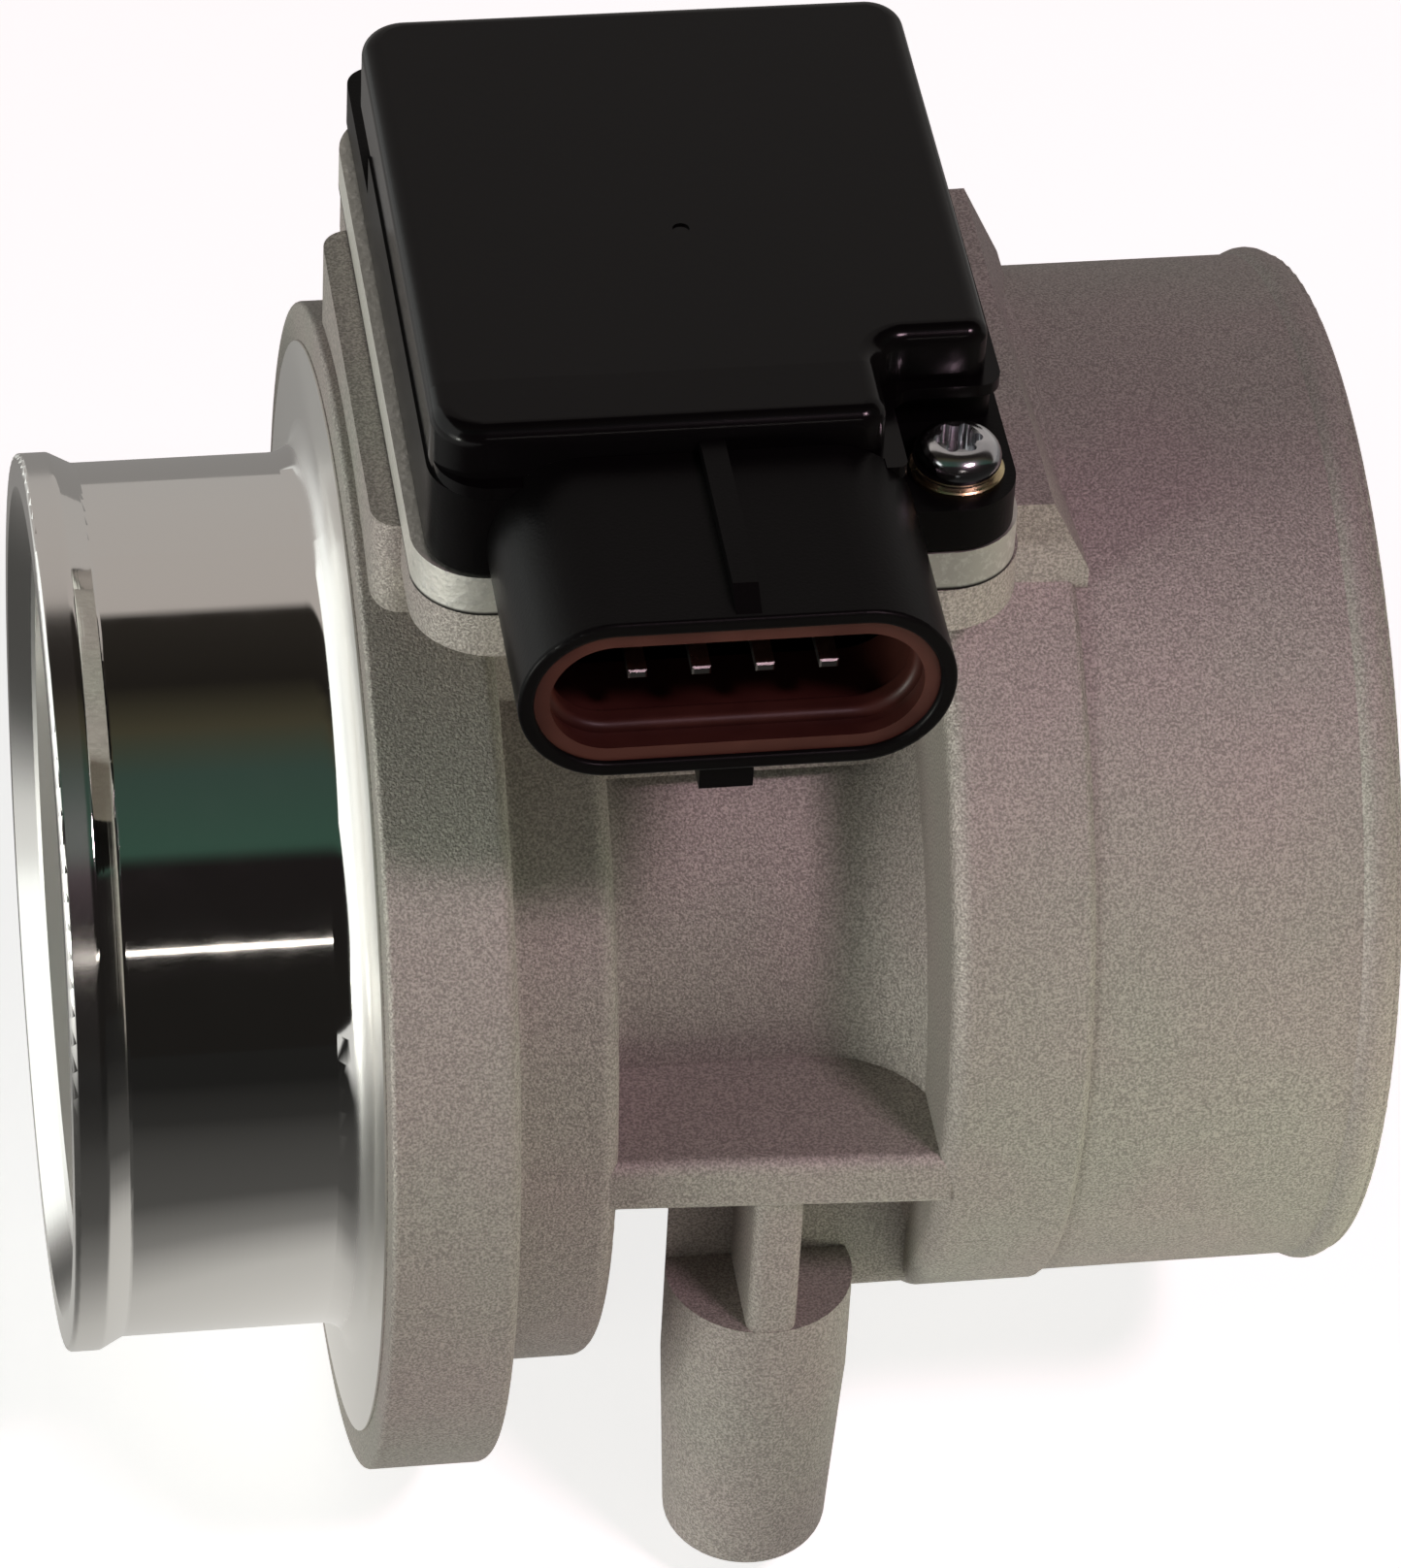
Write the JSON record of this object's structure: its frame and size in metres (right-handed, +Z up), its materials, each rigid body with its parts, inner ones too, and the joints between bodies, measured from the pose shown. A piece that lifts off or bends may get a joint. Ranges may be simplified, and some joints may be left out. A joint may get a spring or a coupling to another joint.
{
  "type": "mass airflow sensor",
  "caption": "Cast duct section with a bolted electronics module and plug socket that meters the intake air of an engine, with hose spigots.",
  "frame": {"origin": "on the outlet axis, in the plane of the flange's machined face", "axes": "+X along the duct from outlet to inlet, +Y to the rear of the module, +Z up through the module"},
  "size_m": [0.1103, 0.1037, 0.1253],
  "materials": {
    "cast_aluminium": "die-cast, grainy, machined spigots",
    "plate_aluminium": "rough bright",
    "housing_plastic": "satin moulded",
    "lid_plastic": "gloss moulded",
    "liner_rubber": "soft matte",
    "gasket_rubber": "matte",
    "adhesive": "satin bead",
    "terminal_tin": "tin plated",
    "screw_steel": "bright plated",
    "washer_yellow": "yellow passivated",
    "sleeve_brass": "turned",
    "screen_steel": "plain",
    "board_ceramic": "matte",
    "chip_plastic": "matte moulded",
    "probe_plastic": "matte moulded",
    "probe_steel": "plain",
    "element_ceramic": "glazed"
  },
  "bodies": {
    "root": {"base_plate": "plate_aluminium", "base_seal": "gasket_rubber", "bushing_front": "sleeve_brass", "bushing_rear": "sleeve_brass", "cast_body": "cast_aluminium", "circuit_board": "board_ceramic", "connector_seal": "liner_rubber", "control_chip": "chip_plastic", "heater_transistor": "chip_plastic", "hot_wire": "element_ceramic", "inlet_screen": "screen_steel", "lid_seal": "adhesive", "module_housing": "housing_plastic", "module_lid": "lid_plastic", "probe_holder": "probe_plastic", "probe_o_ring": "gasket_rubber", "probe_prong_1": "probe_steel", "probe_prong_2": "probe_steel", "probe_prong_3": "probe_steel", "probe_prong_4": "probe_steel", "screen_ring": "screen_steel", "screw_front": "screw_steel", "screw_rear": "screw_steel", "temperature_element": "element_ceramic", "terminal_1": "terminal_tin", "terminal_2": "terminal_tin", "terminal_3": "terminal_tin", "terminal_4": "terminal_tin", "terminal_lead_1": "terminal_tin", "terminal_lead_2": "terminal_tin", "terminal_lead_3": "terminal_tin", "terminal_lead_4": "terminal_tin", "washer_front": "washer_yellow", "washer_rear": "washer_yellow"}
  },
  "joints": []
}
